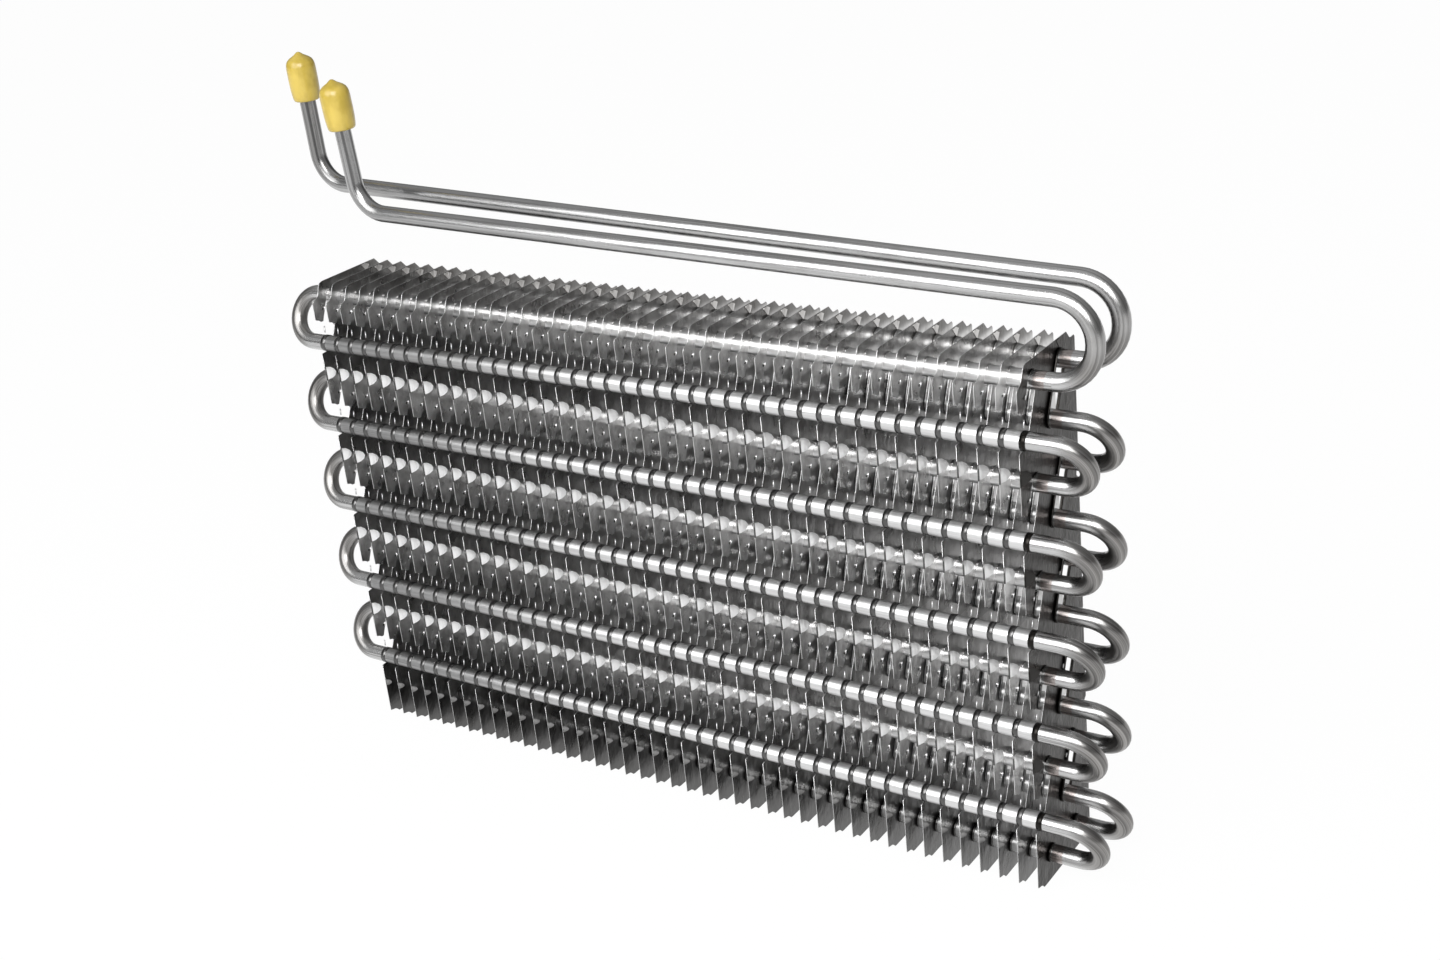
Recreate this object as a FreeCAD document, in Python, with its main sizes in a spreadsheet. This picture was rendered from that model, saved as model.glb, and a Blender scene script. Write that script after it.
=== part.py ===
import FreeCAD, Part
import math
import os

import Sketcher

# Finned tube heat exchanger: a pack of thin upright plates threaded on one long bent tube.
# Frame: origin under the middle of the whole object, +X along the tubes towards the return
# bends that carry the two connections, +Y from the front edge of the plates to the rear, +Z up.
# The pack stands on the bottom edges of its plates.

Vector = FreeCAD.Vector
doc = FreeCAD.newDocument("finned_tube_heat_exchanger")
sheet = doc.addObject("Spreadsheet::Sheet", "sheet")

SIZES = [
    # plates
    ("fin_count", 42),
    ("fin_pitch", 9.4),
    ("fin_height", 246.0),
    ("fin_depth", 55.5),
    ("fin_gauge", 0.25),
    ("first_fin_x", -195.36),
    ("front_corner_drop", 8.3),
    ("front_corner_run", 7.8),
    ("rear_corner_drop", 3.2),
    ("rear_corner_run", 6.2),
    ("foot_corner_rise", 3.2),
    ("foot_corner_run", 5.9),
    # tube and its rows; the odd rows lie one row_offset behind the even ones
    ("tube_od", 8.0),
    ("tube_sides", 12),
    ("bend_step", 30.0),
    ("row_pitch", 22.4),
    ("hairpins", 5),
    ("bottom_row_z", 13.2),
    ("front_row_y", 4.3),
    ("row_offset", 10.2),
    ("coil_gap", 25.5),
    ("slot_clearance", 0.3),
    ("recess_rise", 13.0),
    # straight tube outside the first and the last plate, up to the bends
    ("left_reach", 8.3),
    ("right_reach", 13.2),
    ("crossover_reach", 2.0),
    # connection runs above the plates
    ("run_bend_x", 9.8),
    ("run_bend_radius", 17.5),
    ("riser_radius", 16.0),
    ("front_run_rise", 10.4),
    ("front_riser_x", 31.0),
    ("front_riser_top", 336.4),
    ("front_lean", 3.8),
    ("rear_run_rise", 15.2),
    ("rear_riser_x", -17.6),
    ("rear_riser_top", 343.0),
    ("rear_lean", 1.4),
    # end caps
    ("cap_length", 24.2),
    ("cap_radius", 7.3),
    ("cap_shoulder_radius", 3.6),
    ("cap_nipple", 2.4),
    ("cap_overlap", 13.5),
    ("cap_fit", 0.1),
]
for index, (alias, value) in enumerate(SIZES):
    sheet.set("A%d" % (index + 1), alias)
    sheet.set("B%d" % (index + 1), str(value))
    sheet.setAlias("B%d" % (index + 1), alias)
doc.recompute()


def size(alias):
    return float(sheet.get(alias))


# Expressions shared by several pieces, in the plate's own plane: y from its front edge, z from its foot.
TUBE_R = "sheet.tube_od / 2"
CLEAR = "(%s + sheet.slot_clearance)" % TUBE_R
SLOT_LENGTH = "sqrt(sheet.row_pitch^2 + sheet.row_offset^2)"
LEAN_Y = "(sheet.row_offset / %s)" % SLOT_LENGTH
LEAN_Z = "(sheet.row_pitch / %s)" % SLOT_LENGTH


def origin_plane(body, role):
    return next(item for item in body.Origin.OriginFeatures if item.Role == role)


def add_sketch(body, name, role):
    sketch = body.newObject("Sketcher::SketchObject", name)
    sketch.AttachmentSupport = [(origin_plane(body, role), "")]
    sketch.MapMode = "FlatFace"
    return sketch


def polygon(sketch, corners):
    # a closed outline; each corner's two coordinates are driven by expressions
    first = sketch.GeometryCount
    count = len(corners)
    points = []
    for across, up in corners:
        points.append(Vector(evaluate(sketch, across), evaluate(sketch, up), 0))
    for index in range(count):
        sketch.addGeometry(Part.LineSegment(points[index], points[(index + 1) % count]), False)
    for index in range(count):
        line = first + index
        before = first + (index - 1) % count
        sketch.addConstraint(Sketcher.Constraint("Coincident", before, 2, line, 1))
        for kind, text in zip(("DistanceX", "DistanceY"), corners[index]):
            place = points[index].x if kind == "DistanceX" else points[index].y
            number = sketch.addConstraint(Sketcher.Constraint(kind, -1, 1, line, 1, place))
            sketch.setExpression("Constraints[%d]" % number, text)


def evaluate(host, text):
    value = host.evalExpression(text)
    return float(getattr(value, "Value", value))


def pocket(body, name, sketch):
    cut = body.newObject("PartDesign::Pocket", name)
    cut.Profile = sketch
    cut.Type = "ThroughAll"
    cut.Midplane = True
    return cut


def repeat_upward(body, name, feature, sketch, copies):
    rows = body.newObject("PartDesign::LinearPattern", name)
    rows.Originals = [feature]
    rows.Direction = (sketch, ["V_Axis"])
    rows.setExpression("Occurrences", copies)
    rows.setExpression("Length", "2 * sheet.row_pitch * (%s - 1)" % copies)
    body.Tip = rows
    return rows


def shifted(base_y, base_z, along, beside):
    # a slot's corner, given along the slot and square to it from the tube's centre
    across = "%s + (%s) * %s + (%s) * %s" % (base_y, along, LEAN_Y, beside, LEAN_Z)
    up = "%s + (%s) * %s - (%s) * %s" % (base_z, along, LEAN_Z, beside, LEAN_Y)
    return across, up


# PLATES
# One thin plate with five recesses that open at its front edge. Each recess holds an even row of
# the front coil at the edge and runs up and back, as a slanted slot, to the odd row above it, so
# that the bent hairpins pass through. Five closed slots behind do the same for the rear coil.
fin = doc.addObject("PartDesign::Body", "fin_01")
outline = add_sketch(fin, "fin_outline", "YZ_Plane")
polygon(outline, [
    ("0 mm", "sheet.foot_corner_rise"),
    ("sheet.foot_corner_run", "0 mm"),
    ("sheet.fin_depth", "0 mm"),
    ("sheet.fin_depth", "sheet.fin_height - sheet.rear_corner_drop"),
    ("sheet.fin_depth - sheet.rear_corner_run", "sheet.fin_height"),
    ("sheet.front_corner_run", "sheet.fin_height"),
    ("0 mm", "sheet.fin_height - sheet.front_corner_drop"),
])
plate = fin.newObject("PartDesign::Pad", "fin_plate")
plate.Profile = outline
plate.setExpression("Length", "sheet.fin_gauge")
doc.recompute()
plate_volume = plate.Shape.Volume

front_y = "sheet.front_row_y"
rear_y = "sheet.front_row_y + sheet.coil_gap"
low_z = "sheet.bottom_row_z + sheet.row_pitch"
recess = add_sketch(fin, "recess_outline", "YZ_Plane")
lobe_y = "%s - %s / %s + sheet.recess_rise * %s / %s" % (front_y, CLEAR, LEAN_Z, LEAN_Y, LEAN_Z)
polygon(recess, [
    ("-%s" % CLEAR, "%s - %s" % (low_z, CLEAR)),
    ("%s + %s * (1 - %s) / %s" % (front_y, CLEAR, LEAN_Y, LEAN_Z), "%s - %s" % (low_z, CLEAR)),
    shifted(front_y, low_z, "%s + %s" % (SLOT_LENGTH, CLEAR), CLEAR),
    shifted(front_y, low_z, "%s + %s" % (SLOT_LENGTH, CLEAR), "-%s" % CLEAR),
    (lobe_y, "%s + sheet.recess_rise" % low_z),
    ("-%s" % CLEAR, "%s + sheet.recess_rise" % low_z),
])
slot = add_sketch(fin, "slot_outline", "YZ_Plane")
polygon(slot, [
    shifted(rear_y, low_z, "-%s" % CLEAR, CLEAR),
    shifted(rear_y, low_z, "%s + %s" % (SLOT_LENGTH, CLEAR), CLEAR),
    shifted(rear_y, low_z, "%s + %s" % (SLOT_LENGTH, CLEAR), "-%s" % CLEAR),
    shifted(rear_y, low_z, "-%s" % CLEAR, "-%s" % CLEAR),
])
lowest = add_sketch(fin, "lowest_row_outline", "YZ_Plane")
for coil in ("", " + sheet.coil_gap"):
    middle = "sheet.front_row_y + sheet.row_offset%s" % coil
    polygon(lowest, [
        ("%s - %s" % (middle, CLEAR), "sheet.bottom_row_z - %s" % CLEAR),
        ("%s + %s" % (middle, CLEAR), "sheet.bottom_row_z - %s" % CLEAR),
        ("%s + %s" % (middle, CLEAR), "sheet.bottom_row_z + %s" % CLEAR),
        ("%s - %s" % (middle, CLEAR), "sheet.bottom_row_z + %s" % CLEAR),
    ])
doc.recompute()
recess_cut = pocket(fin, "recess_cut", recess)
repeat_upward(fin, "recess_rows", recess_cut, recess, "sheet.hairpins")
slot_cut = pocket(fin, "slot_cut", slot)
repeat_upward(fin, "slot_rows", slot_cut, slot, "sheet.hairpins")
lowest_cut = pocket(fin, "lowest_row_cut", lowest)
fin.Tip = lowest_cut
doc.recompute()
if not lowest_cut.Shape.Volume < plate_volume:
    raise RuntimeError("the plate's openings cut nothing")


def place_fin(body, number):
    body.setExpression(".Placement.Base.x", "sheet.first_fin_x + %d * sheet.fin_pitch" % number)
    body.setExpression(".Placement.Base.y", "-sheet.fin_depth / 2")


fins = [fin]
place_fin(fin, 0)
for number in range(1, int(size("fin_count"))):
    copy = doc.addObject("PartDesign::Body", "fin_%02d" % (number + 1))
    like_first = copy.newObject("PartDesign::FeatureBase", "like_fin_01_%02d" % (number + 1))
    like_first.BaseFeature = fin
    copy.Tip = like_first
    place_fin(copy, number)
    fins.append(copy)

# TUBE ROUTES
# Points in the object's frame. Every bend is a run of equal turns that touch the true arc.
FIRST_X = size("first_fin_x")
LAST_X = FIRST_X + (size("fin_count") - 1) * size("fin_pitch") + size("fin_gauge")
RADIUS = size("tube_od") / 2
HAIRPIN_R = math.hypot(size("row_pitch"), size("row_offset")) / 2
HAIRPINS = int(size("hairpins"))
ODD_Y = size("front_row_y") + size("row_offset") - size("fin_depth") / 2
EVEN_Y = size("front_row_y") - size("fin_depth") / 2
TOP_ROW_Z = size("bottom_row_z") + 2 * HAIRPINS * size("row_pitch")


def rounded(corners, radii):
    # replaces each inner corner of the route by equal turns round the true arc of its radius
    points = [corners[0]]
    for before, corner, after, radius in zip(corners, corners[1:], corners[2:], radii):
        into = (corner - before).normalize()
        out = (after - corner).normalize()
        turn = into.getAngle(out)
        turns = max(1, round(math.degrees(turn) / size("bend_step")))
        centre = corner + (out - into).normalize() * (radius / math.cos(turn / 2))
        start = corner - into * (radius * math.tan(turn / 2)) - centre
        axis = into.cross(out).normalize()
        for index in range(turns):
            spin = FreeCAD.Rotation(axis, math.degrees(turn * (index + 0.5) / turns))
            points.append(centre + spin.multVec(start) * (1 / math.cos(turn / 2 / turns)))
    points.append(corners[-1])
    return points


def tube(label, points):
    # a many-sided section of the tube's true area, carried along the route with mitred joints
    route = doc.addObject("Part::Feature", label + "_route")
    route.Shape = Part.makePolygon(points)
    section = doc.addObject("Part::RegularPolygon", label + "_section")
    section.setExpression("Polygon", "sheet.tube_sides")
    section.setExpression(
        "Circumradius", "%s * sqrt(2 * pi / sheet.tube_sides / sin(360 deg / sheet.tube_sides))" % TUBE_R
    )
    heading = (points[1] - points[0]).normalize()
    section.Placement = FreeCAD.Placement(points[0], FreeCAD.Rotation(Vector(0, 0, 1), heading))
    sweep = doc.addObject("Part::Sweep", label)
    sweep.Sections = [section]
    sweep.Spine = (route, [])
    sweep.Solid = True
    sweep.Frenet = False
    sweep.Transition = "Right corner"
    return sweep, route


def coil_route(shift):
    # from the connection at the top right, to and fro, down to the crossover at the bottom left
    right = LAST_X + size("right_reach") + HAIRPIN_R
    left = FIRST_X - size("left_reach") - HAIRPIN_R
    corners = []
    for row in range(2 * HAIRPINS + 1):
        y = (ODD_Y if row % 2 == 0 else EVEN_Y) + shift
        z = TOP_ROW_Z - row * size("row_pitch")
        ends = [right, left] if row % 2 == 0 else [left, right]
        corners += [Vector(x, y, z) for x in ends]
    corners[0].x = LAST_X + size("run_bend_x")
    corners[-1].x = FIRST_X - size("crossover_reach")
    return rounded(corners, [HAIRPIN_R] * (len(corners) - 2))


def connection_route(shift, run_rise, riser_x, riser_top, lean):
    # round the last plate's top, back over the pack and up to the capped end
    radius = size("run_bend_radius")
    bend_x = LAST_X + size("run_bend_x")
    upper_z = TOP_ROW_Z + 2 * radius
    y = ODD_Y + shift
    corner = Vector(FIRST_X + riser_x, y, upper_z + run_rise)
    height = riser_top - corner.z
    end = corner + Vector(-height * math.tan(math.radians(lean)), 0, height)
    corners = [
        Vector(bend_x, y, TOP_ROW_Z),
        Vector(bend_x + radius, y, TOP_ROW_Z),
        Vector(bend_x + radius, y, upper_z),
        corner,
        end,
    ]
    return rounded(corners, [radius, radius, size("riser_radius")])


# COILS
# Front and rear coil, each a flat serpentine of slanted hairpins, joined by one bend at the foot.
coil_front, coil_front_route = tube("coil_front", coil_route(0))
coil_rear, coil_rear_route = tube("coil_rear", coil_route(size("coil_gap")))
half_gap = size("coil_gap") / 2
cross_x = FIRST_X - size("crossover_reach")
bottom_z = size("bottom_row_z")
crossover, crossover_route = tube("coil_crossover", rounded([
    Vector(cross_x, ODD_Y, bottom_z),
    Vector(cross_x - half_gap, ODD_Y, bottom_z),
    Vector(cross_x - half_gap, ODD_Y + size("coil_gap"), bottom_z),
    Vector(cross_x, ODD_Y + size("coil_gap"), bottom_z),
], [half_gap, half_gap]))

# CONNECTIONS
# Both runs lie above the pack, one behind the other; the rear one ends further to the left.
front_points = connection_route(
    0, size("front_run_rise"), size("front_riser_x"), size("front_riser_top"), size("front_lean")
)
rear_points = connection_route(
    size("coil_gap"), size("rear_run_rise"), size("rear_riser_x"), size("rear_riser_top"), size("rear_lean")
)
pipe_front, pipe_front_route = tube("connection_front", front_points)
pipe_rear, pipe_rear_route = tube("connection_rear", rear_points)


# END CAPS
# Soft moulded caps pushed over the open tube ends: a straight skirt, a sloping shoulder and a
# small pointed nipple, with a blind bore as deep as the tube goes in.
def end_cap(label, points):
    body = doc.addObject("PartDesign::Body", label)
    profile = add_sketch(body, label + "_profile", "XZ_Plane")
    bore = "%s + sheet.cap_fit" % TUBE_R
    shoulder = "sheet.cap_length - sheet.cap_nipple"
    polygon(profile, [
        (bore, "0 mm"),
        ("sheet.cap_radius", "0 mm"),
        ("sheet.cap_radius", "%s - sheet.cap_shoulder_radius" % shoulder),
        ("sheet.cap_radius - sheet.cap_shoulder_radius", shoulder),
        ("0 mm", "sheet.cap_length"),
        ("0 mm", "sheet.cap_overlap + sheet.cap_fit"),
        (bore, "sheet.cap_overlap + sheet.cap_fit"),
    ])
    turned = body.newObject("PartDesign::Revolution", label + "_turned")
    turned.Profile = profile
    turned.ReferenceAxis = (profile, ["V_Axis"])
    turned.Angle = 360
    body.Tip = turned
    axis = (points[-1] - points[-2]).normalize()
    rim = points[-1] - axis * size("cap_overlap")
    body.Placement = FreeCAD.Placement(rim, FreeCAD.Rotation(Vector(0, 0, 1), axis))
    return body


cap_front = end_cap("cap_front", front_points)
cap_rear = end_cap("cap_rear", rear_points)
doc.recompute()

# CHECKS AND FILES
pieces = fins + [coil_front, coil_rear, crossover, pipe_front, pipe_rear, cap_front, cap_rear]
for item in doc.Objects:
    if "Invalid" in item.State or "Error" in item.State:
        raise RuntimeError("%s failed: %s" % (item.Label, item.State))
section_area = math.pi * RADIUS ** 2
routes = [coil_front_route, coil_rear_route, crossover_route, pipe_front_route, pipe_rear_route]
for swept, route in zip([coil_front, coil_rear, crossover, pipe_front, pipe_rear], routes):
    expected = section_area * route.Shape.Length
    if abs(swept.Shape.Volume - expected) > 0.01 * expected:
        raise RuntimeError("%s has the wrong volume" % swept.Label)
os.makedirs("parts", exist_ok=True)
for piece in pieces:
    if piece.Shape.isNull() or not piece.Shape.isValid() or len(piece.Shape.Solids) != 1:
        raise RuntimeError("%s is not one valid solid" % piece.Label)
    piece.Shape.exportStep(os.path.join("parts", piece.Label + ".step"))
print("pieces", len(pieces), "hairpin radius %.2f" % HAIRPIN_R)
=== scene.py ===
import math

import bmesh
import bpy
from mathutils import Matrix, Vector


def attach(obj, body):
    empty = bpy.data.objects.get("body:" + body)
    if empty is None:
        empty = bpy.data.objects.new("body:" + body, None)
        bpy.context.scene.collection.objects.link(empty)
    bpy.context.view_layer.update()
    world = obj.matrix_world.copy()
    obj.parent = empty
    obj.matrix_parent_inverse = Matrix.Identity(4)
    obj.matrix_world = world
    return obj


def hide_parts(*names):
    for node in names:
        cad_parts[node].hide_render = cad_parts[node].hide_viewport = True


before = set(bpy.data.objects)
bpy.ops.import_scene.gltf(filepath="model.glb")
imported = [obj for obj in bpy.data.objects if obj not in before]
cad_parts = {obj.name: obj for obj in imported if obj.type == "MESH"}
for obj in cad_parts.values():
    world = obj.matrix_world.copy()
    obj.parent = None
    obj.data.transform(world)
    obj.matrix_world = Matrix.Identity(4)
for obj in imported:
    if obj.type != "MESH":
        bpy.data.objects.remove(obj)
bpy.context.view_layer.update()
MM = 0.001

# CAMERA AND STUDIO
# The object stands on a plain white floor. The camera looks down on it from the right-hand front,
# a little turned about its own axis. Two large soft lamps light it from the front and the right.
image_width, focal_pixels, sensor_width = 1440, 1937.454, 36.0
floor_radius, floor_white, world_strength = 9.0, 0.97, 0.45
view_turn, view_drop, view_roll = math.radians(35.947), math.radians(23.116), math.radians(-6.346)
camera_place = Vector((508.45, -669.88, 515.60)) * MM
forward = Vector((-math.sin(view_turn) * math.cos(view_drop), math.cos(view_turn) * math.cos(view_drop),
                  -math.sin(view_drop)))
level = forward.cross(Vector((0, 0, 1))).normalized()
upright = level.cross(forward)
right = level * math.cos(view_roll) + upright * math.sin(view_roll)
above = upright * math.cos(view_roll) - level * math.sin(view_roll)
camera = bpy.data.objects.new("camera", bpy.data.cameras.new("camera"))
camera_turn = Matrix((right, above, -forward)).transposed().to_4x4()
camera.matrix_world = Matrix.Translation(camera_place) @ camera_turn
camera.data.sensor_fit = "HORIZONTAL"
camera.data.sensor_width = sensor_width
camera.data.lens = focal_pixels / image_width * sensor_width
camera.data.clip_start = 0.01
bpy.context.collection.objects.link(camera)
bpy.context.scene.camera = camera
bpy.context.scene.view_settings.view_transform = "Standard"


class Shade:
    """A value in a material's node tree, so that patterns are written as sums and products."""

    def __init__(self, finish, socket):
        self.finish = finish
        self.socket = socket

    def _math(self, operation, first, second):
        return self.finish.node("ShaderNodeMath", {"operation": operation}, {0: first, 1: second})

    def __add__(self, other):
        return self._math("ADD", self, other)

    def __radd__(self, other):
        return self._math("ADD", other, self)

    def __sub__(self, other):
        return self._math("SUBTRACT", self, other)

    def __rsub__(self, other):
        return self._math("SUBTRACT", other, self)

    def __mul__(self, other):
        return self._math("MULTIPLY", self, other)

    def __rmul__(self, other):
        return self._math("MULTIPLY", other, self)


class Finish:
    """A material whose Principled shader takes plain numbers, colours or Shade values."""

    def __init__(self, name):
        self.material = bpy.data.materials.new(name)
        self.material.use_nodes = True
        self.tree = self.material.node_tree
        self.shader = self.tree.nodes["Principled BSDF"]

    def _feed(self, socket, value):
        if isinstance(value, Shade):
            self.tree.links.new(value.socket, socket)
        else:
            socket.default_value = value

    def node(self, kind, settings=None, values=None, output=0):
        made = self.tree.nodes.new(kind)
        for key, value in (settings or {}).items():
            if key == "stops":
                ramp = made.color_ramp.elements
                while len(ramp) < len(value):
                    ramp.new(0.5)
                for stop, (place, colour) in zip(ramp, value):
                    stop.position = place
                    stop.color = colour
            else:
                setattr(made, key, value)
        for key, value in (values or {}).items():
            self._feed(made.inputs[key], value)
        return Shade(self, made.outputs[output])

    def blend(self, share, low, high):
        return self.node("ShaderNodeMix", {"data_type": "RGBA"}, {0: share, 6: low, 7: high}, output=2)

    def noise(self, coordinates, stretch, scale, detail=3.0, rough=0.55):
        placed = self.node("ShaderNodeMapping", None, {"Vector": coordinates, "Scale": stretch})
        return self.node("ShaderNodeTexNoise", None,
                         {"Vector": placed, "Scale": scale, "Detail": detail, "Roughness": rough})

    def step(self, value, low, high):
        return self.node("ShaderNodeMapRange", {"interpolation_type": "SMOOTHSTEP"},
                         {"Value": value, "From Min": low, "From Max": high})

    def set(self, **values):
        for key, value in values.items():
            self._feed(self.shader.inputs[key.replace("_", " ")], value)

    def bump(self, height, strength, distance):
        self.set(Normal=self.node("ShaderNodeBump", None,
                                  {"Height": height, "Strength": strength, "Distance": distance}))


def grey(level, tint=0.0):
    # a tint above nothing makes the grey warmer
    return (level * (1 + tint), level, level * (1 - tint), 1.0)


# the floor shows white to the camera and in the metal, and still takes a soft shadow
paper = Finish("floor_paper")
speckle = paper.noise(paper.node("ShaderNodeTexCoord", output=3), (1, 1, 1), 30.0)
paper.set(Base_Color=paper.blend(speckle, grey(0.90), grey(0.94)), Roughness=0.9, Specular_IOR_Level=0.2)
rays = paper.tree.nodes.new("ShaderNodeLightPath")
seen = Shade(paper, rays.outputs["Is Camera Ray"])
for kind in ("Is Glossy Ray", "Is Transmission Ray"):
    also_seen = Shade(paper, rays.outputs[kind])
    seen = paper.node("ShaderNodeMath", {"operation": "MAXIMUM"}, {0: seen, 1: also_seen})
white = paper.node("ShaderNodeEmission", None, {"Color": grey(1.0), "Strength": 1.0})
floor_mix = paper.tree.nodes.new("ShaderNodeMixShader")
paper._feed(floor_mix.inputs[0], seen * floor_white)
paper.tree.links.new(paper.shader.outputs[0], floor_mix.inputs[1])
paper.tree.links.new(white.socket, floor_mix.inputs[2])
paper.tree.links.new(floor_mix.outputs[0], paper.tree.nodes["Material Output"].inputs[0])
floor_mesh = bpy.data.meshes.new("floor")
ring = bmesh.new()
bmesh.ops.create_circle(ring, cap_ends=True, segments=64, radius=floor_radius)
ring.to_mesh(floor_mesh)
ring.free()
floor = bpy.data.objects.new("floor", floor_mesh)
floor_mesh.materials.append(paper.material)
bpy.context.collection.objects.link(floor)

world = bpy.data.worlds.new("studio")
bpy.context.scene.world = world
world.use_nodes = True
sky = world.node_tree
lit = sky.nodes["Background"]
lit.inputs["Strength"].default_value = world_strength
# the light grows from a quarter just under the horizon to its full strength overhead
direction = sky.nodes.new("ShaderNodeTexCoord")
direction_parts = sky.nodes.new("ShaderNodeSeparateXYZ")
fade = sky.nodes.new("ShaderNodeMapRange")
fade.inputs["From Min"].default_value = -0.1
fade.inputs["From Max"].default_value = 0.9
fade.inputs["To Min"].default_value = 0.25
fade.inputs["To Max"].default_value = 1.0
sky.links.new(direction.outputs["Generated"], direction_parts.inputs[0])
sky.links.new(direction_parts.outputs["Z"], fade.inputs["Value"])
sky.links.new(fade.outputs[0], lit.inputs["Color"])


def soft_lamp(name, place, target, width, height, watts):
    lamp = bpy.data.objects.new(name, bpy.data.lights.new(name, "AREA"))
    lamp.data.shape = "RECTANGLE"
    lamp.data.size = width
    lamp.data.size_y = height
    lamp.data.energy = watts
    lamp.location = place
    lamp.rotation_euler = (Vector(target) - Vector(place)).to_track_quat("-Z", "Y").to_euler()
    bpy.context.collection.objects.link(lamp)


soft_lamp("right_lamp", (0.66, -1.15, 1.10), (0, 0, 0.15), 1.0, 0.9, 23)
soft_lamp("front_lamp", (-0.42, -1.35, 1.05), (0, 0, 0.15), 1.3, 1.25, 19)

# FINS
# Forty-two plates of thin rolled aluminium sheet, stamped with recesses at the front edge and
# slanted slots behind, whose edges are turned up as low collars that grip the tubes.
fin_count, fin_pitch, fin_gauge = 42, 9.4, 0.22
fin_height, fin_depth = 246.0, 55.4
half_depth, front_inset = 27.75, 0.05
first_face_x = -195.36
first_fin_x = first_face_x + 0.125
front_y, row_step_y, coil_gap = 4.3, 10.2, 25.5
row_pitch, bottom_row_z = 22.4, 13.2
tube_radius = 4.0
hole = tube_radius + 0.12
collar_wall, collar_height = 0.33, 1.3
wrap_inner, wrap_outer, wrap_height = 4.05, 4.24, 2.6
tongue_gauge, tongue_shares, tongue_steps = 0.18, (1.0, 0.7, 0.35), 6
tongue_setback, dint_y = 0.45, 6.1
# what each part of a plate is, for the finish; the edge, facet and tongue zones carry painted highlights, and
# the shade zone painted shade
SHEET, HIGHLIT_EDGE, COLLAR, PAINTED_SHADE, HIGHLIGHT_FACET, HIGHLIGHT_TONGUE = 0.0, 1.0, 2.0, 3.0, 4.0, 5.0
slant = math.hypot(row_pitch, row_step_y)
slot_up = Vector((row_step_y / slant, row_pitch / slant))
slot_back = Vector((slot_up.y, -slot_up.x))
slot_angle = math.degrees(math.atan2(slot_up.y, slot_up.x))
even_rows = [bottom_row_z + row_pitch * (1 + 2 * n) for n in range(5)]
odd_rows = [bottom_row_z + row_pitch * 2 * n for n in range(6)]
inner_tube_y = (front_y + row_step_y, front_y + row_step_y + coil_gap)


def points(*places):
    # all sizes of the pieces are in millimetres
    return [Vector(place) for place in places]


def arc(centre, radius, start, stop, steps):
    turns = [math.radians(start + (stop - start) * n / steps) for n in range(steps + 1)]
    return points(*((centre.x + radius * math.cos(t), centre.y + radius * math.sin(t)) for t in turns))


def recess_sides(z, half):
    # from the front edge round under the front tube, up the slot, round its top and back down
    foot = Vector((front_y, z))
    head = foot + Vector((row_step_y, row_pitch))
    path = arc(foot, half, -90, slot_angle - 90, 6)
    path += arc(head, half, slot_angle - 90, slot_angle + 90, 9)
    path.append(foot - slot_back * half + slot_up * 10.6)
    return path


def slot_sides(z, half):
    # a closed slot from the rear coil's outer tube up to its inner one
    foot = Vector((front_y + coil_gap, z))
    head = foot + Vector((row_step_y, row_pitch))
    return (arc(foot, half, slot_angle + 90, slot_angle + 270, 9)
            + arc(head, half, slot_angle - 90, slot_angle + 90, 9))


def fin_outline():
    # clockwise from the front foot, with the y from the front edge and the z from the foot
    path = points((0, 3.2))
    for z in even_rows:
        path += points((0, z - 4.5), (1.6, z - 4.35))
        path += recess_sides(z, hole)
        path += points((3.3, z + 11.5), (2.2, z + 12.5), (0.9, z + 12.9), (0, z + 13.4))
    # the cut front corner, and the rear one with its tooth
    path += points((0, 236.6), (0.6, 237.7), (2.6, 238.3), (4.2, 239.6), (5.1, 241.6), (6.1, 244.2),
                   (7.2, 245.5), (9.0, 246.0))
    path += points(*((fin_depth - y, fin_height - down) for y, down in (
        (8.0, 0), (6.2, 2.0), (5.0, 3.4), (3.4, 3.8), (0.7, 3.7), (0, 4.6))))
    # shallow notches down the rear edge, one over each row but the lowest and the highest
    for z in sorted(odd_rows + even_rows, reverse=True)[1:-1]:
        path += points((fin_depth, z + 13.2), (fin_depth - 2.2, z + 11.4), (fin_depth - 2.4, z + 9.8),
                       (fin_depth, z + 7.6))
    path += points((fin_depth, 0), (7.2, 0), (5.9, 0.2), (4.6, 1.6), (3.4, 2.4), (1.4, 2.8))
    return path


def flat_shape(name, outlines, low, high):
    """A sheet piece in the fin's plane between two heights over its face, with holes."""
    curve = bpy.data.curves.new(name, "CURVE")
    curve.dimensions = "2D"
    curve.fill_mode = "BOTH"
    curve.extrude = (high - low) / 2 * MM
    for outline in outlines:
        spline = curve.splines.new("POLY")
        spline.points.add(len(outline) - 1)
        for point, place in zip(spline.points, outline):
            point.co = (place.x * MM, place.y * MM, 0, 1)
        spline.use_cyclic_u = True
    carrier = bpy.data.objects.new(name, curve)
    bpy.context.collection.objects.link(carrier)
    bpy.context.view_layer.update()
    mesh = bpy.data.meshes.new_from_object(carrier.evaluated_get(bpy.context.evaluated_depsgraph_get()))
    bpy.data.objects.remove(carrier)
    # the drawing plane turns upright: across becomes +Y, up becomes +Z, and its normal +X
    mesh.transform(Matrix(((0, 0, 1, (low + high) / 2 * MM), (1, 0, 0, -half_depth * MM + front_inset * MM),
                           (0, 1, 0, 0), (0, 0, 0, 1))))
    return mesh


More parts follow.
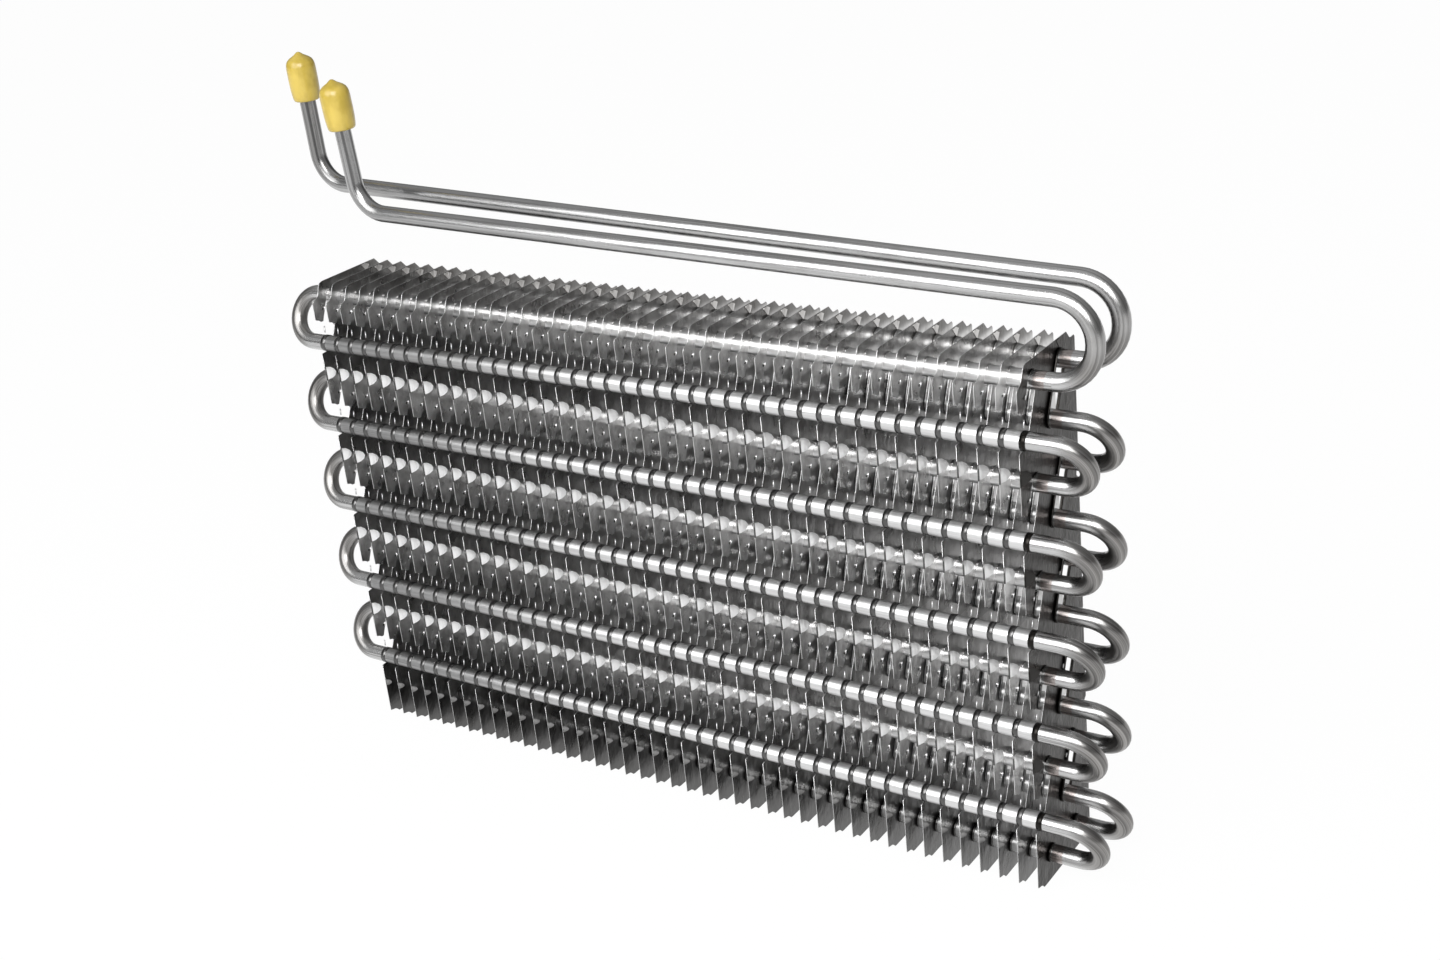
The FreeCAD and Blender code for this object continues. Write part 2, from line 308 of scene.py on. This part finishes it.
def pressed_tongue(hinge, depth, half_height, rise):
    """A half-round tongue cut in the sheet and bent out, which hangs on the sheet's front edge."""
    tongue = bmesh.new()
    turns = [math.radians(-90 + 180 / tongue_steps * n) for n in range(tongue_steps + 1)]

    def corner(share, turn, lift):
        across, up = share * math.cos(turn), share * math.sin(turn)
        bulge = across * (0.7 - 0.7 * up * up - 0.4 * up)
        x = fin_gauge / 2 + rise * across + bulge + lift
        y = hinge.x + depth * across - half_depth + front_inset
        return tongue.verts.new((x * MM, y * MM, (hinge.y + half_height * up) * MM))

    layers = []
    for lift in (0.0, tongue_gauge):
        rings = [[corner(share, turn, lift) for turn in turns] for share in tongue_shares]
        heart = corner(0.0, 0.0, lift)
        for outer_ring, inner_ring in zip(rings, rings[1:]):
            for n in range(tongue_steps):
                tongue.faces.new((outer_ring[n], outer_ring[n + 1], inner_ring[n + 1], inner_ring[n]))
        for n in range(tongue_steps):
            tongue.faces.new((rings[-1][n], rings[-1][n + 1], heart))
        hinge_line = [ring[-1] for ring in rings[1:]] + [heart] + [ring[0] for ring in rings[:0:-1]]
        layers.append(rings[0] + hinge_line)
    lower, higher = layers
    for n in range(len(lower)):
        tongue.faces.new((lower[n - 1], lower[n], higher[n], higher[n - 1]))
    mesh = bpy.data.meshes.new("tongue")
    tongue.to_mesh(mesh)
    tongue.free()
    return mesh


def joined(name, zones):
    """One mesh of many parts, whose corners carry the zone of the sheet that they belong to."""
    solid = bmesh.new()
    layer = solid.loops.layers.float.new("zone")
    for mesh, zone in zones:
        known = set(solid.faces)
        solid.from_mesh(mesh)
        for face in solid.faces:
            if face not in known:
                for loop in face.loops:
                    loop[layer] = zone
        bpy.data.meshes.remove(mesh)
    bmesh.ops.remove_doubles(solid, verts=solid.verts, dist=1e-7)
    bmesh.ops.recalc_face_normals(solid, faces=solid.faces)
    solid.normal_update()
    # the sheet's edge faces go into the bright edge zone, a painted highlight
    for face in solid.faces:
        if abs(face.normal.x) < 0.3 and face.loops[0][layer] == SHEET:
            for loop in face.loops:
                loop[layer] = HIGHLIT_EDGE
    made = bpy.data.meshes.new(name)
    solid.to_mesh(made)
    solid.free()
    return made


def band(path_in, path_out):
    # an open strip between two lines
    return path_in + list(reversed(path_out))


face = fin_gauge / 2
rim = hole + collar_wall
fin_holes = [slot_sides(z, hole) for z in even_rows]
fin_holes += [arc(Vector((y, bottom_row_z)), hole, 0, 345, 23) for y in inner_tube_y]
fin_parts = [(flat_shape("fin_sheet", [fin_outline()] + fin_holes, -face, face), SHEET)]
for z in even_rows:
    foot = Vector((front_y, z))
    head = foot + Vector((row_step_y, row_pitch))
    head_collar = band(arc(head, hole, slot_angle - 110, 130, 10), arc(head, rim, slot_angle - 110, 130, 10))
    fin_parts.append((flat_shape("head_collar", [head_collar], face, 0.7), COLLAR))
    slot_collar = [slot_sides(z, rim), slot_sides(z, hole)]
    fin_parts.append((flat_shape("slot_collar", slot_collar, face, collar_height), COLLAR))
    # the front tube is wrapped all round by a wider collar, which is painted near-black as painted shade
    wrap_sides = [arc(foot, wrap_outer, 0, 337.5, 15), arc(foot, wrap_inner, 0, 337.5, 15)]
    fin_parts.append((flat_shape("wrap", wrap_sides, -face, wrap_height), PAINTED_SHADE))
    # the tab is in the bright edge zone, a painted highlight
    tab = points((4.2, z + 5.6), (4.4, z + 5.5), (4.8, z + 8.6), (4.5, z + 8.9))
    fin_parts.append((flat_shape("tab", [tab], face, 0.7), HIGHLIT_EDGE))
    # a small pressed mark beside the slot: a dint painted dark as painted shade, with a raised lip painted
    # bright as a painted highlight
    for y in (dint_y, dint_y + coil_gap):
        dint = Vector((y, z + 17.3))
        fin_parts.append((flat_shape("dint", [arc(dint, 0.62, 0, 300, 5)], face, 0.3), PAINTED_SHADE))
        lip = [dint + corner for corner in points((0.5, -0.6), (0.8, -0.7), (1.7, 1.0), (1.4, 1.1))]
        fin_parts.append((flat_shape("lip", [lip], face, 0.6), HIGHLIT_EDGE))
    # just over the upper tube a half-round tongue is bent out of the strip and painted near-white, a painted
    # highlight; not at the top, where the corner is cut away
    if z < even_rows[-1]:
        level_z = z + row_pitch + 7.3
        fin_parts.append((pressed_tongue(Vector((tongue_setback, level_z)), 3.9, 3.4, 2.1), HIGHLIGHT_TONGUE))
        # a narrow strip folded over the front edge at the tongue's hinge, painted near-black as painted shade
        fold = points((-0.03, level_z - 3.7), (0.5, level_z - 3.7),
                      (0.5, level_z + 3.6), (-0.03, level_z + 3.6))
        fin_parts.append((flat_shape("fold", [fold], -face - 0.05, 0.4), PAINTED_SHADE))
# a small dull curl of the same kind stands by the lowest tube
curl_foot = Vector((tongue_setback, bottom_row_z + 7.0))
fin_parts.append((pressed_tongue(curl_foot, 2.1, 1.7, 1.2), SHEET))
# near the top rear corner the sheet is creased and one facet is painted light grey, a painted highlight
facet = points(*((fin_depth - y, fin_height - down) for y, down in (
    (17.8, 0.5), (15.0, 0.2), (12.4, 1.6), (14.6, 4.9))))
fin_parts.append((flat_shape("facet", [facet], face, 0.3), HIGHLIGHT_FACET))
for y in inner_tube_y:
    centre = Vector((y, bottom_row_z))
    round_collar = [arc(centre, rim, 0, 345, 23), arc(centre, hole, 0, 345, 23)]
    fin_parts.append((flat_shape("round_collar", round_collar, face, collar_height), COLLAR))
fin_pattern = bpy.data.objects.new("fin_pattern", joined("fin_pattern", fin_parts))
bpy.context.collection.objects.link(fin_pattern)

# places along, across and up the object are read in metres in the finishes
fin_finish = Finish("fin_sheet")
place = fin_finish.node("ShaderNodeTexCoord", output=3)
zone = fin_finish.node("ShaderNodeAttribute", {"attribute_name": "zone"}, output=2)
# the edges, tabs and lips are painted pale, a painted highlight along them
cut = fin_finish.step(zone, 0.4, 0.9) - fin_finish.step(zone, 1.2, 1.8)
highlight_parts = fin_finish.step(zone, 3.2, 3.8)
tongue_highlight = fin_finish.step(zone, 4.2, 4.8)
wrap = fin_finish.step(zone, 2.2, 2.8) - highlight_parts
wrinkle = fin_finish.noise(place, (260, 210, 150), 1.0, detail=3.0, rough=0.6)
waves = fin_finish.noise(place, (60, 55, 38), 1.0, detail=2.0)
rolled = fin_finish.noise(place, (60, 1500, 40), 1.0, detail=2.0)
cloud = fin_finish.noise(place, (150, 90, 70), 1.0, detail=3.0)
dust = fin_finish.step(fin_finish.noise(place, (420, 420, 420), 1.0, detail=4.0), 0.58, 0.78)
fin_colour = fin_finish.blend(fin_finish.step(cloud, 0.34, 0.64), grey(0.58, 0.01), grey(0.95, 0.005))
fin_colour = fin_finish.blend(dust * 0.45, fin_colour, grey(0.22, 0.03))
# painted shade: the wrap collars, the dints and the folds are near-black
fin_colour = fin_finish.blend(wrap * 0.94, fin_colour, grey(0.09))
# the collars round the slots are painted darker, painted shade about the tubes
collars = fin_finish.step(zone, 1.2, 1.8) - wrap - highlight_parts
fin_colour = fin_finish.blend(collars * 0.5, fin_colour, grey(0.20))
# between the rows the sheet is painted in bands of light and shade: near-black painted shade over each front
# tube, then a pale band of painted light, and a dull stretch of painted shade under the front tube
where = fin_finish.tree.nodes.new("ShaderNodeSeparateXYZ")
fin_finish.tree.links.new(place.socket, where.inputs[0])
across, behind, upward = (Shade(fin_finish, where.outputs[axis]) for axis in "XYZ")
cycle = (upward - even_rows[0] * MM) * (1 / (2 * row_pitch * MM)) + (waves - 0.5) * 0.10
cycle = fin_finish.node("ShaderNodeMath", {"operation": "FRACT"}, {0: cycle})
shade_over_tube = 1 - fin_finish.step(cycle, 0.17, 0.22)
light_band_painted = fin_finish.step(cycle, 0.19, 0.24) - fin_finish.step(cycle, 0.27, 0.34)
shade_below = fin_finish.step(cycle, 0.57, 0.63)
fin_colour = fin_finish.blend(shade_over_tube * 0.62 + shade_below * 0.46, fin_colour, grey(0.12, 0.01))
fin_colour = fin_finish.blend(light_band_painted * 0.6, fin_colour, grey(0.92))
# the top rim and the rear top corner are coloured darker and browner, and the outermost plate is painted nearly
# black, a painted shade
outer = fin_finish.step(across, 0.1899, 0.1901)
rear_rim = fin_finish.step(upward, 0.236, 0.243) * fin_finish.step(behind, 0.004, 0.014)
rims = fin_finish.step(upward, 0.238, 0.245) * 0.4 + rear_rim * 0.6
fin_colour = fin_finish.blend(rims * 0.8, fin_colour, grey(0.10, 0.06))
# painted shade: the feet of the plates are nearly black, down by the floor
shaded_foot = 1.0 - fin_finish.step(upward, 0.016, 0.026)
fin_colour = fin_finish.blend(shaded_foot * 0.9, fin_colour, grey(0.035, 0.04))
# painted highlights: the creased facet is light grey and the tongues are near-white
fin_colour = fin_finish.blend(highlight_parts, fin_colour, fin_finish.blend(tongue_highlight, grey(0.72, 0.02), grey(0.95)))
# painted shade: the outer face of the last plate is nearly black
fin_colour = fin_finish.blend(outer * 0.97, fin_colour, grey(0.018, 0.10))
fin_finish.set(Base_Color=fin_finish.blend(cut * 0.8, fin_colour, grey(0.88)), Metallic=1.0,
               Roughness=0.22 + cloud * 0.14 + cut * 0.1 + tongue_highlight * 0.12)
fin_finish.bump(wrinkle * 0.6 + waves + rolled * 0.15, 0.45, 0.0012)


def node_group(name, inputs):
    """An empty Geometry Nodes tree with named inputs, and its input and output nodes."""
    tree = bpy.data.node_groups.new(name, "GeometryNodeTree")
    tree.interface.new_socket("Geometry", in_out="INPUT", socket_type="NodeSocketGeometry")
    for label, kind in inputs:
        tree.interface.new_socket(label, in_out="INPUT", socket_type=kind)
    tree.interface.new_socket("Geometry", in_out="OUTPUT", socket_type="NodeSocketGeometry")
    return tree, tree.nodes.new("NodeGroupInput"), tree.nodes.new("NodeGroupOutput")


def wire(tree, *links):
    """Links node outputs to node inputs, each given as node, output, node, input."""
    for source, output, target, socket in links:
        tree.links.new(source.outputs[output], target.inputs[socket])


def grown(name, tree, values, base=None):
    """Runs a tree on an empty mesh or on a curve and gives its result as a plain mesh object."""
    carrier = bpy.data.objects.new(name, base or bpy.data.meshes.new(name + "_carrier"))
    bpy.context.collection.objects.link(carrier)
    modifier = carrier.modifiers.new("grown", "NODES")
    modifier.node_group = tree
    for item in tree.interface.items_tree:
        if item.item_type == "SOCKET" and item.in_out == "INPUT" and item.name in values:
            modifier[item.identifier] = values[item.name]
    bpy.context.view_layer.update()
    mesh = bpy.data.meshes.new_from_object(carrier.evaluated_get(bpy.context.evaluated_depsgraph_get()))
    carrier.modifiers.remove(modifier)
    old = carrier.data
    if isinstance(old, bpy.types.Mesh):
        carrier.data = mesh
        bpy.data.meshes.remove(old)
        return carrier
    bpy.data.objects.remove(carrier)
    made = bpy.data.objects.new(name, mesh)
    bpy.context.collection.objects.link(made)
    return made


fin_tree, given, result = node_group("fin_row", [
    ("Fin", "NodeSocketObject"), ("Count", "NodeSocketInt"), ("Pitch", "NodeSocketFloat"),
    ("First", "NodeSocketFloat"), ("Unevenness", "NodeSocketFloat"), ("Turn", "NodeSocketFloat"),
    ("Sheet", "NodeSocketMaterial")])
row = fin_tree.nodes.new("GeometryNodeMeshLine")
start = fin_tree.nodes.new("ShaderNodeCombineXYZ")
stride = fin_tree.nodes.new("ShaderNodeCombineXYZ")
wire(fin_tree, (given, "First", start, "X"), (given, "Pitch", stride, "X"), (given, "Count", row, "Count"),
     (start, 0, row, "Start Location"), (stride, 0, row, "Offset"))
# each plate stands a hair off its place along the row and is turned a little about its upright
nudge = fin_tree.nodes.new("ShaderNodeCombineXYZ")
turned = fin_tree.nodes.new("ShaderNodeCombineXYZ")
for seed, label, target, axis in ((3, "Unevenness", nudge, "X"), (11, "Turn", turned, "Z")):
    chance = fin_tree.nodes.new("FunctionNodeRandomValue")
    chance.data_type = "FLOAT"
    chance.inputs[2].default_value = -1.0
    chance.inputs[3].default_value = 1.0
    chance.inputs["Seed"].default_value = seed
    times = fin_tree.nodes.new("ShaderNodeMath")
    times.operation = "MULTIPLY"
    wire(fin_tree, (chance, 1, times, 0), (given, label, times, 1), (times, 0, target, axis))
moved = fin_tree.nodes.new("GeometryNodeSetPosition")
pattern = fin_tree.nodes.new("GeometryNodeObjectInfo")
copies = fin_tree.nodes.new("GeometryNodeInstanceOnPoints")
real = fin_tree.nodes.new("GeometryNodeRealizeInstances")
coated = fin_tree.nodes.new("GeometryNodeSetMaterial")
wire(fin_tree, (row, "Mesh", moved, "Geometry"), (nudge, 0, moved, "Offset"),
     (given, "Fin", pattern, "Object"), (moved, "Geometry", copies, "Points"),
     (pattern, "Geometry", copies, "Instance"), (turned, 0, copies, "Rotation"),
     (copies, "Instances", real, "Geometry"), (real, "Geometry", coated, "Geometry"),
     (given, "Sheet", coated, "Material"), (coated, "Geometry", result, "Geometry"))
fins = grown("fins", fin_tree, {
    "Fin": fin_pattern, "Count": fin_count, "Pitch": fin_pitch * MM, "First": first_fin_x * MM,
    "Unevenness": 0.00018, "Turn": 0.004, "Sheet": fin_finish.material})
bpy.data.objects.remove(fin_pattern)
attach(fins, "root")
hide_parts(*["fin_%02d" % (n + 1) for n in range(fin_count)])

# TUBE
# One long drawn aluminium tube, bent into a front and a rear serpentine, with its two ends led
# back over the fins. The drawing leaves fine bright and dark streaks along it.
left_reach, right_reach, crossover_reach = 8.3, 13.2, 2.0
last_face_x = first_face_x + (fin_count - 1) * fin_pitch + 0.25
end_reach, end_radius, riser_radius = 9.8, 17.5, 16.0
hairpin_radius = slant / 2
front_plane, rear_plane = -half_depth + front_y, -half_depth + front_y + coil_gap
row_count = len(even_rows) + len(odd_rows)
top_row_z = bottom_row_z + (row_count - 1) * row_pitch
tube_sides = 28


def rounded(corners, radii, steps_per_half_turn=20):
    """The points of a line whose inner corners are bent to the given radii."""
    line = [corners[0]]
    for before, corner, after, radius in zip(corners, corners[1:], corners[2:], radii):
        into, out = (corner - before).normalized(), (after - corner).normalized()
        turn = into.angle(out)
        centre = corner + (out - into).normalized() * (radius / math.cos(turn / 2))
        start = corner - into * (radius * math.tan(turn / 2)) - centre
        axis = into.cross(out).normalized()
        steps = max(2, round(steps_per_half_turn * turn / math.pi))
        line += [centre + Matrix.Rotation(turn * n / steps, 3, axis) @ start for n in range(steps + 1)]
    line.append(corners[-1])
    spaced = [line[0]]
    for point in line[1:]:
        if (point - spaced[-1]).length > 0.05:
            spaced.append(point)
    return spaced


def coil_corners(plane):
    """The corners of one serpentine, from its top row down, with every other row set back."""
    far_right = last_face_x + right_reach + hairpin_radius
    far_left = first_face_x - left_reach - hairpin_radius
    corners = []
    for n in range(row_count):
        y = plane + (row_step_y if n % 2 == 0 else 0)
        z = top_row_z - n * row_pitch
        ends = (far_right, far_left) if n % 2 == 0 else (far_left, far_right)
        corners += points(*((x, y, z) for x in ends))
    corners[0].x = last_face_x + end_reach
    corners[-1].x = first_face_x - crossover_reach
    return corners


def connection_corners(plane, rise, riser_x, riser_top, lean):
    """The corners of one free end: round beside the last plate, back over the fins and up."""
    y, bend_x = plane + row_step_y, last_face_x + end_reach
    upper = top_row_z + 2 * end_radius
    corner = Vector((first_face_x + riser_x, y, upper + rise))
    height = riser_top - corner.z
    top = corner + Vector((-height * math.tan(math.radians(lean)), 0, height))
    return points((bend_x, y, top_row_z), (bend_x + end_radius, y, top_row_z),
                  (bend_x + end_radius, y, upper)) + [corner, top]


front_end = connection_corners(front_plane, 10.4, 31.0, 336.4, 3.8)
rear_end = connection_corners(rear_plane, 15.2, -17.6, 343.0, 1.4)

tube_tree, given, result = node_group("drawn_tube", [
    ("Radius", "NodeSocketFloat"), ("Sides", "NodeSocketInt"), ("Metal", "NodeSocketMaterial")])
section = tube_tree.nodes.new("GeometryNodeCurvePrimitiveCircle")
along = tube_tree.nodes.new("GeometryNodeSplineParameter")
around = tube_tree.nodes.new("GeometryNodeSplineParameter")
kept_along = tube_tree.nodes.new("GeometryNodeCaptureAttribute")
kept_along.capture_items.new("FLOAT", "Along")
kept_around = tube_tree.nodes.new("GeometryNodeCaptureAttribute")
kept_around.capture_items.new("FLOAT", "Around")
drawn = tube_tree.nodes.new("GeometryNodeCurveToMesh")
drawn.inputs["Fill Caps"].default_value = True
pair = tube_tree.nodes.new("ShaderNodeCombineXYZ")
stored = tube_tree.nodes.new("GeometryNodeStoreNamedAttribute")
stored.data_type = "FLOAT2"
stored.domain = "CORNER"
stored.inputs["Name"].default_value = "tube_map"
metal = tube_tree.nodes.new("GeometryNodeSetMaterial")
wire(tube_tree, (given, "Sides", section, "Resolution"), (given, "Radius", section, "Radius"),
     (given, "Geometry", kept_along, "Geometry"), (along, "Length", kept_along, "Along"),
     (section, "Curve", kept_around, "Geometry"), (around, "Factor", kept_around, "Around"),
     (kept_along, "Geometry", drawn, "Curve"), (kept_around, "Geometry", drawn, "Profile Curve"),
     (kept_along, "Along", pair, "X"), (kept_around, "Around", pair, "Y"),
     (drawn, "Mesh", stored, "Geometry"), (pair, 0, stored, "Value"),
     (stored, "Geometry", metal, "Geometry"), (given, "Metal", metal, "Material"),
     (metal, "Geometry", result, "Geometry"))

tube_finish = Finish("drawn_tube")
tube_map = tube_finish.node("ShaderNodeUVMap", {"uv_map": "tube_map"})
streaks = tube_finish.noise(tube_map, (7, 16, 1), 1.0, detail=5.0, rough=0.7)
fine = tube_finish.noise(tube_map, (26, 90, 1), 1.0, detail=3.0)
place = tube_finish.node("ShaderNodeTexCoord", output=3)
patches = tube_finish.noise(place, (40, 90, 90), 1.0, detail=3.0)
dark = tube_finish.step(streaks, 0.46, 0.66)
worn = tube_finish.step(fine, 0.5, 0.8)
metal_colour = tube_finish.blend(dark * 0.85, grey(0.60), grey(0.22, 0.01))
metal_colour = tube_finish.blend(worn * 0.5, metal_colour, grey(0.18, 0.02))
metal_colour = tube_finish.blend(tube_finish.step(patches, 0.5, 0.75) * 0.3, metal_colour, grey(0.30, 0.03))
# a brownish ring is left on the tube where it comes out of the last plate
where = tube_finish.tree.nodes.new("ShaderNodeSeparateXYZ")
tube_finish.tree.links.new(place.socket, where.inputs[0])
beside, behind, upward = (Shade(tube_finish, where.outputs[axis]) for axis in "XYZ")
ring_mark = tube_finish.step(beside, 0.1915, 0.1922) - tube_finish.step(beside, 0.1965, 0.1972)
over_fins = tube_finish.step(upward, 0.243, 0.245)
ring_mark = ring_mark * tube_finish.step(behind, -0.0179, -0.0172) * (1 - over_fins)
ring_brown = (0.30, 0.21, 0.18, 1.0)
metal_colour = tube_finish.blend(ring_mark * 0.45, metal_colour, ring_brown)
# bending has rubbed the outsides of the bends rougher, and their colour is painted darker there, a painted shade
bent = tube_finish.step(beside, 0.203, 0.216) + 1 - tube_finish.step(beside, -0.213, -0.202)
bent = bent * (1 - tube_finish.step(upward, 0.243, 0.256) * 0.6)
painted_bend_shade = tube_finish.blend(dark, grey(0.24, 0.04), grey(0.09, 0.07))
metal_colour = tube_finish.blend(bent * 0.9, metal_colour, painted_bend_shade)
# the free ends over the fins are painted darker towards the caps, a painted shade, and drawn with broad dark
# lines
ends = tube_finish.step(upward, 0.25, 0.256) * (1 - tube_finish.step(beside, -0.17, 0.08))
broad = tube_finish.step(tube_finish.noise(tube_map, (2, 8, 1), 1.0, detail=2.0), 0.44, 0.56)
risers = tube_finish.step(upward, 0.284, 0.298)
dark_lines_and_shade = ends * 0.22 + ends * broad * 0.33 + risers * broad * 0.25 + bent * broad * 0.45
metal_colour = tube_finish.blend(dark_lines_and_shade, metal_colour, grey(0.055))
lines = tube_finish.step(tube_finish.noise(tube_map, (5, 70, 1), 1.0, detail=2.0), 0.50, 0.62)
metal_colour = tube_finish.blend(bent * lines * 0.55, metal_colour, grey(0.46, 0.02))
# between the fins it is less polished, and its colour is painted darker to the left, a painted shade, and paler
# towards the bends on the right, a painted highlight
between_fins = tube_finish.step(beside, -0.196, -0.190) - tube_finish.step(beside, 0.1895, 0.1905)
between_fins = between_fins * (1 - over_fins)
lit_end = tube_finish.step(beside, -0.17, 0.02)
metal_colour = tube_finish.blend(between_fins * (1 - lit_end) * 0.6, metal_colour, grey(0.16))
metal_colour = tube_finish.blend(between_fins * lit_end * 0.6, metal_colour, grey(0.82))
tube_finish.set(Base_Color=metal_colour, Metallic=1.0,
                Roughness=0.16 + streaks * 0.18 + bent * 0.08 + between_fins * 0.13)
tube_finish.bump(fine * 0.5 + streaks, 0.14, 0.0004)


def drawn_tube(name, corners, radii):
    """A round tube along a line with bent corners, as a mesh with its own map along and around."""
    line = rounded(corners, radii)
    curve = bpy.data.curves.new(name + "_line", "CURVE")
    curve.dimensions = "3D"
    spline = curve.splines.new("POLY")
    spline.points.add(len(line) - 1)
    for point, place in zip(spline.points, line):
        point.co = (place.x * MM, place.y * MM, place.z * MM, 1)
    piece = grown(name, tube_tree,
                  {"Radius": tube_radius * MM, "Sides": tube_sides, "Metal": tube_finish.material}, curve)
    # the walls are smooth, the flat ends are not
    piece.data.polygons.foreach_set("use_smooth", [len(p.vertices) == 4 for p in piece.data.polygons])
    piece.data.update()
    return piece


coil_radii = [hairpin_radius] * (2 * (row_count - 1))
tubes = {
    "coil_front": drawn_tube("front_coil", coil_corners(front_plane), coil_radii),
    "coil_rear": drawn_tube("rear_coil", coil_corners(rear_plane), coil_radii),
    "connection_front": drawn_tube("front_connection", front_end, [end_radius, end_radius, riser_radius]),
    "connection_rear": drawn_tube("rear_connection", rear_end, [end_radius, end_radius, riser_radius]),
}
cross_x, cross_y, cross_radius = first_face_x - crossover_reach, front_plane + row_step_y, coil_gap / 2
tubes["coil_crossover"] = drawn_tube("crossover_bend", points(
    (cross_x, cross_y, bottom_row_z), (cross_x - cross_radius, cross_y, bottom_row_z),
    (cross_x - cross_radius, cross_y + coil_gap, bottom_row_z), (cross_x, cross_y + coil_gap, bottom_row_z)),
    [cross_radius, cross_radius])
for node, piece in tubes.items():
    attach(piece, "root")
    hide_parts(node)

# CAPS
# Soft yellow moulded caps pushed over the open tube ends to keep dirt out: a straight skirt with
# a rounded rim, a rounded shoulder and a small pointed nipple left by the dipping.
cap_finish = Finish("cap_plastic")
place = cap_finish.node("ShaderNodeTexCoord", output=3)
cloudy = cap_finish.noise(place, (150, 150, 90), 1.0, detail=3.0)
deep_yellow, pale_yellow = (0.40, 0.29, 0.036, 1), (0.50, 0.37, 0.066, 1)
cap_finish.set(Base_Color=cap_finish.blend(cap_finish.step(cloudy, 0.35, 0.65), deep_yellow, pale_yellow),
               Roughness=0.30 + cloudy * 0.1, Subsurface_Weight=0.05, Subsurface_Scale=0.003,
               Subsurface_Radius=(1.0, 0.7, 0.2), Coat_Weight=0.35, Coat_Roughness=0.12)
cap_finish.bump(cap_finish.noise(place, (700, 700, 400), 1.0), 0.05, 0.0003)
# the outside from the rim to the nipple, as radius and height over the rim
cap_sides, cap_overlap, cap_floor, cap_bore = 40, 13.5, 13.7, 4.1
cap_profile = [(cap_bore, 0.3), (4.5, 0.0), (5.7, 0.0), (6.3, 0.35), (6.65, 1.1), (6.9, 2.6), (7.2, 6.0),
               (7.3, 10.0), (7.3, 15.5), (7.2, 17.4), (6.85, 18.9), (6.2, 20.1), (5.1, 21.1), (3.8, 21.9),
               (2.5, 22.6), (1.4, 23.5), (0.7, 24.0), (0.0, 24.1)]


def moulded_cap(name, node, corners):
    """A hollow cap turned about the free end that the last two corners point along."""
    axis = (corners[-1] - corners[-2]).normalized()
    rim_middle = corners[-1] - axis * cap_overlap
    shell = bmesh.new()
    rings = []
    circle = [(math.cos(math.tau * n / cap_sides), math.sin(math.tau * n / cap_sides)) for n in range(cap_sides)]
    for radius, height in cap_profile + [(0.0, cap_floor), (cap_bore, cap_floor)]:
        if radius == 0.0:
            rings.append([shell.verts.new((0, 0, height))])
        else:
            rings.append([shell.verts.new((radius * x, radius * y, height)) for x, y in circle])
    outer, inner = rings[:len(cap_profile)], [rings[0], rings[-1], rings[-2]]
    for low, high in list(zip(outer, outer[1:])) + list(zip(inner, inner[1:])):
        for n in range(cap_sides):
            after = (n + 1) % cap_sides
            shell.faces.new([low[n], low[after]] + ([high[0]] if len(high) == 1 else [high[after], high[n]]))
    bmesh.ops.recalc_face_normals(shell, faces=shell.faces)
    for face in shell.faces:
        face.smooth = True
    mesh = bpy.data.meshes.new(name)
    shell.to_mesh(mesh)
    shell.free()
    turn = axis.to_track_quat("Z", "Y").to_matrix().to_4x4()
    mesh.transform(Matrix.Scale(MM, 4) @ Matrix.Translation(rim_middle) @ turn)
    mesh.materials.append(cap_finish.material)
    cap = bpy.data.objects.new(name, mesh)
    bpy.context.collection.objects.link(cap)
    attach(cap, "root")
    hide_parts(node)


moulded_cap("front_cap", "cap_front", front_end)
moulded_cap("rear_cap", "cap_rear", rear_end)
